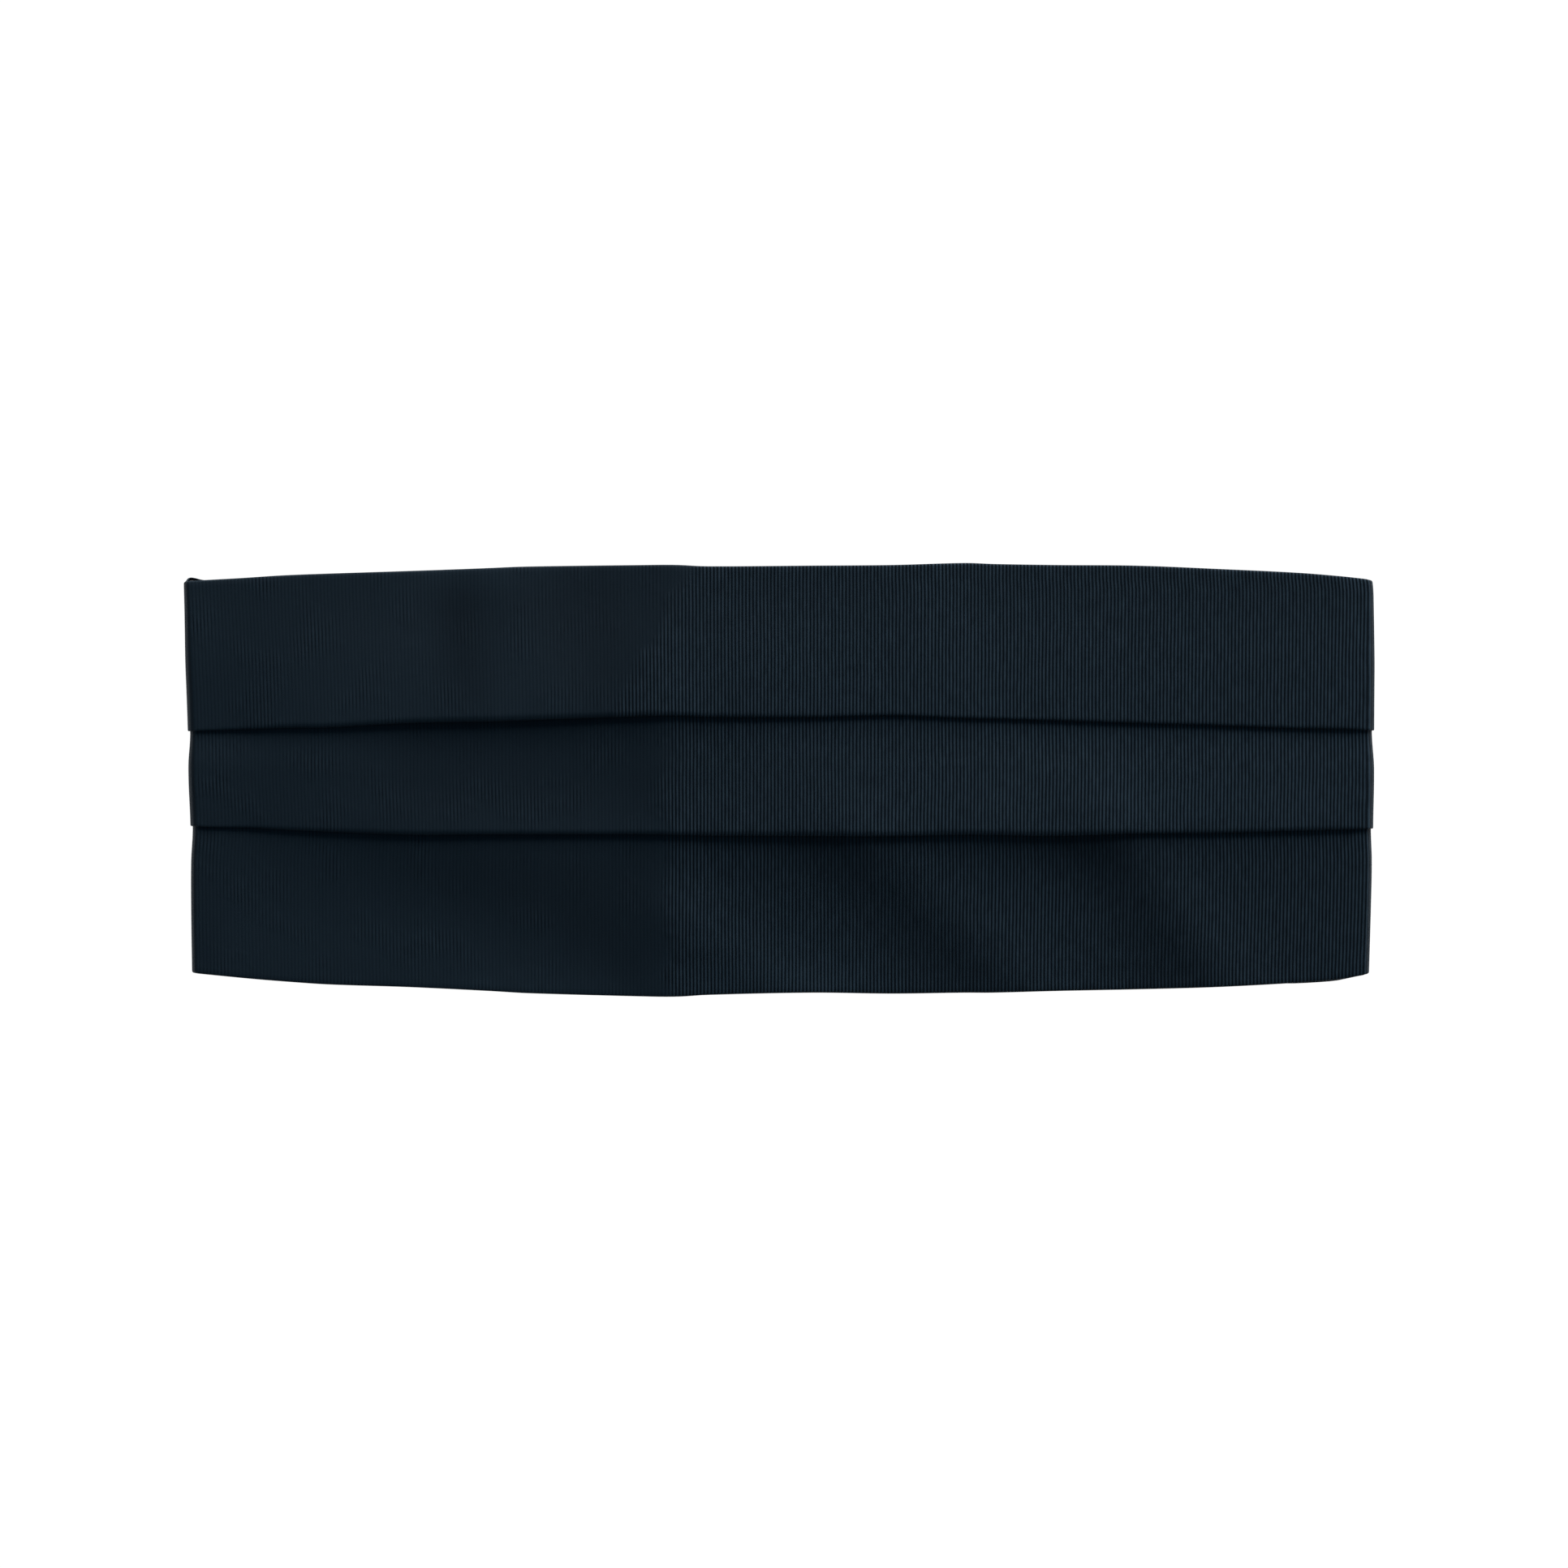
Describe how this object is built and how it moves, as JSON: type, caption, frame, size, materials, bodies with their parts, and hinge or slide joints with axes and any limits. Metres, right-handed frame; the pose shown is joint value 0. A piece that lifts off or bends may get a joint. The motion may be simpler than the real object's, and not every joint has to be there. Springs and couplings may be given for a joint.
{
  "type": "cummerbund",
  "caption": "Pleated cummerbund of ribbed cloth, fastened into a loop by straps and a slide at the back, lying flat with its front up.",
  "frame": {"origin": "on the ground, under the middle of the loop as it lies flat", "axes": "+X along the waist to the right as seen from the front, +Y up on the wearer, +Z out of the front and away from the ground"},
  "size_m": [0.3673, 0.1335, 0.0168],
  "materials": {
    "faille": "soft sheen, fine upright ribs",
    "lining": "smooth satin",
    "webbing": "matt, tightly woven",
    "clasp_metal": "dark satin lacquer"
  },
  "bodies": {
    "root": {"pleated_front": "faille", "back_panel": "lining", "strap_left": "webbing", "strap_right": "webbing", "clasp": "clasp_metal"}
  },
  "joints": []
}
